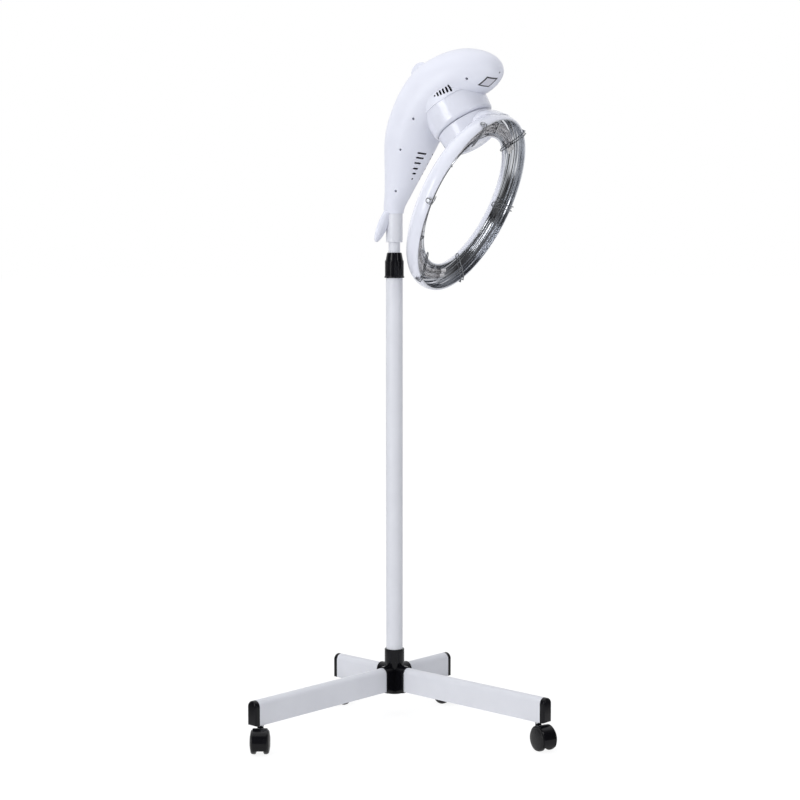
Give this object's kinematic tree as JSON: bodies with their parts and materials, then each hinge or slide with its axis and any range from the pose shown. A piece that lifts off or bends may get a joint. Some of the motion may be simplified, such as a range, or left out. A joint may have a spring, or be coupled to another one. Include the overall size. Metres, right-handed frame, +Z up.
{
  "type": "hair color processor",
  "caption": "Floor-standing hair color processor: a heater halo orbits on a motor cup under a dolphin-backed head, on a height-adjustable pole with a wheeled base.",
  "frame": {"origin": "on the axis of the pole, at floor level", "axes": "+Z up the pole; the two long base legs spread to either side of -Y and the two short ones to either side of +Y"},
  "size_m": [0.6129, 0.4512, 1.3992],
  "materials": {
    "white_shell": "gloss white with a faint lavender cast",
    "white_paint": "gloss white powder coat",
    "black_gloss": "gloss black moulding",
    "black_matte": "matt black moulding",
    "wheel_black": "gloss black hard tread",
    "steel": "bright steel",
    "motor_steel": "plated steel can",
    "mirror": "polished reflector",
    "heater_glass": "clear quartz with a faint pink tint",
    "panel_grey": "satin grey",
    "window": "smoked window",
    "key_grey": "satin light grey"
  },
  "bodies": {
    "base": {"base_hub": "black_gloss", "base_plate": "black_gloss", "caster_stems": "steel", "pole_lower": "white_paint", "mast_collet": "black_matte", "leg_front_left": "white_paint", "leg_front_right": "white_paint", "leg_rear_right": "white_paint", "leg_rear_left": "white_paint", "leg_cap_front_left": "black_gloss", "leg_cap_front_right": "black_gloss", "leg_cap_rear_right": "black_gloss", "leg_cap_rear_left": "black_gloss"},
    "lock": {"collar_nut": "black_gloss"},
    "mast": {"mast_upper": "white_paint", "mast_guide": "black_matte"},
    "head": {"neck_sleeve": "white_paint", "housing_left": "white_shell", "housing_right": "white_shell", "housing_screws": "steel", "motor_cup": "white_shell", "cup_bearing": "steel", "gear_motor": "motor_steel", "control_panel": "panel_grey", "display_window": "window", "mains_gland": "black_matte"},
    "orbit": {"orbit_hub": "white_shell", "hub_cover": "white_shell", "drive_shaft": "steel", "halo_shell": "white_shell", "halo_mirror": "mirror", "heater_tubes": "heater_glass", "heater_end_caps": "steel", "heater_clips": "steel", "guard_wires": "steel", "guard_screws": "steel"},
    "key_start": {"key_start": "key_grey"},
    "key_mode": {"key_mode": "key_grey"},
    "key_timer": {"key_timer": "key_grey"},
    "swivel_front_left": {"caster_hood_front_left": "black_gloss", "caster_axle_front_left": "steel"},
    "wheel_front_left_left": {"caster_wheel_front_left_left": "wheel_black"},
    "wheel_front_left_right": {"caster_wheel_front_left_right": "wheel_black"},
    "swivel_front_right": {"caster_hood_front_right": "black_gloss", "caster_axle_front_right": "steel"},
    "wheel_front_right_left": {"caster_wheel_front_right_left": "wheel_black"},
    "wheel_front_right_right": {"caster_wheel_front_right_right": "wheel_black"},
    "swivel_rear_right": {"caster_hood_rear_right": "black_gloss", "caster_axle_rear_right": "steel"},
    "wheel_rear_right_left": {"caster_wheel_rear_right_left": "wheel_black"},
    "wheel_rear_right_right": {"caster_wheel_rear_right_right": "wheel_black"},
    "swivel_rear_left": {"caster_hood_rear_left": "black_gloss", "caster_axle_rear_left": "steel"},
    "wheel_rear_left_left": {"caster_wheel_rear_left_left": "wheel_black"},
    "wheel_rear_left_right": {"caster_wheel_rear_left_right": "wheel_black"}
  },
  "joints": [
    {"name": "collar_twist", "type": "hinge", "parent": "base", "child": "lock", "pos_m": [0, 0, 0.9685], "axis": [0, 0, 1], "range_deg": [0, 90]},
    {"name": "mast_height", "type": "slide", "parent": "base", "child": "mast", "axis": [0, 0, 1], "range_m": [-0.02, 0.34]},
    {"name": "head_swivel", "type": "hinge", "parent": "mast", "child": "head", "pos_m": [0, 0, 1.05], "axis": [0, 0, 1], "continuous": true},
    {"name": "halo_orbit", "type": "hinge", "parent": "head", "child": "orbit", "pos_m": [0.13927, -0.08236, 1.2474], "axis": [-0.4612, 0.2728, 0.8443], "continuous": true},
    {"name": "press_start", "type": "slide", "parent": "head", "child": "key_start", "axis": [-0.509, -0.8607, 0], "range_m": [0, 0.0015], "stiffness_N_per_m": 900},
    {"name": "press_mode", "type": "slide", "parent": "head", "child": "key_mode", "axis": [-0.509, -0.8607, 0], "range_m": [0, 0.0015], "stiffness_N_per_m": 900},
    {"name": "press_timer", "type": "slide", "parent": "head", "child": "key_timer", "axis": [-0.509, -0.8607, 0], "range_m": [0, 0.0015], "stiffness_N_per_m": 900},
    {"name": "swivel_front_left", "type": "hinge", "parent": "base", "child": "swivel_front_left", "pos_m": [-0.27719, -0.27719, 0.05], "axis": [0, 0, 1], "continuous": true},
    {"name": "roll_front_left_left", "type": "hinge", "parent": "swivel_front_left", "child": "wheel_front_left_left", "pos_m": [-0.27781, -0.29518, 0.0245], "axis": [0.9994, -0.0349, 0], "continuous": true},
    {"name": "roll_front_left_right", "type": "hinge", "parent": "swivel_front_left", "child": "wheel_front_left_right", "pos_m": [-0.27781, -0.29518, 0.0245], "axis": [0.9994, -0.0349, 0], "continuous": true},
    {"name": "swivel_front_right", "type": "hinge", "parent": "base", "child": "swivel_front_right", "pos_m": [0.27719, -0.27719, 0.05], "axis": [0, 0, 1], "continuous": true},
    {"name": "roll_front_right_left", "type": "hinge", "parent": "swivel_front_right", "child": "wheel_front_right_left", "pos_m": [0.28564, -0.29308, 0.0245], "axis": [0.8829, 0.4695, 0], "continuous": true},
    {"name": "roll_front_right_right", "type": "hinge", "parent": "swivel_front_right", "child": "wheel_front_right_right", "pos_m": [0.28564, -0.29308, 0.0245], "axis": [0.8829, 0.4695, 0], "continuous": true},
    {"name": "swivel_rear_right", "type": "hinge", "parent": "base", "child": "swivel_rear_right", "pos_m": [0.10394, 0.10394, 0.05], "axis": [0, 0, 1], "continuous": true},
    {"name": "roll_rear_right_left", "type": "hinge", "parent": "swivel_rear_right", "child": "wheel_rear_right_left", "pos_m": [0.11503, 0.08976, 0.0245], "axis": [0.788, 0.6157, 0], "continuous": true},
    {"name": "roll_rear_right_right", "type": "hinge", "parent": "swivel_rear_right", "child": "wheel_rear_right_right", "pos_m": [0.11503, 0.08976, 0.0245], "axis": [0.788, 0.6157, 0], "continuous": true},
    {"name": "swivel_rear_left", "type": "hinge", "parent": "base", "child": "swivel_rear_left", "pos_m": [-0.10394, 0.10394, 0.05], "axis": [0, 0, 1], "continuous": true},
    {"name": "roll_rear_left_left", "type": "hinge", "parent": "swivel_rear_left", "child": "wheel_rear_left_left", "pos_m": [-0.11503, 0.08976, 0.0245], "axis": [0.788, -0.6157, 0], "continuous": true},
    {"name": "roll_rear_left_right", "type": "hinge", "parent": "swivel_rear_left", "child": "wheel_rear_left_right", "pos_m": [-0.11503, 0.08976, 0.0245], "axis": [0.788, -0.6157, 0], "continuous": true}
  ]
}
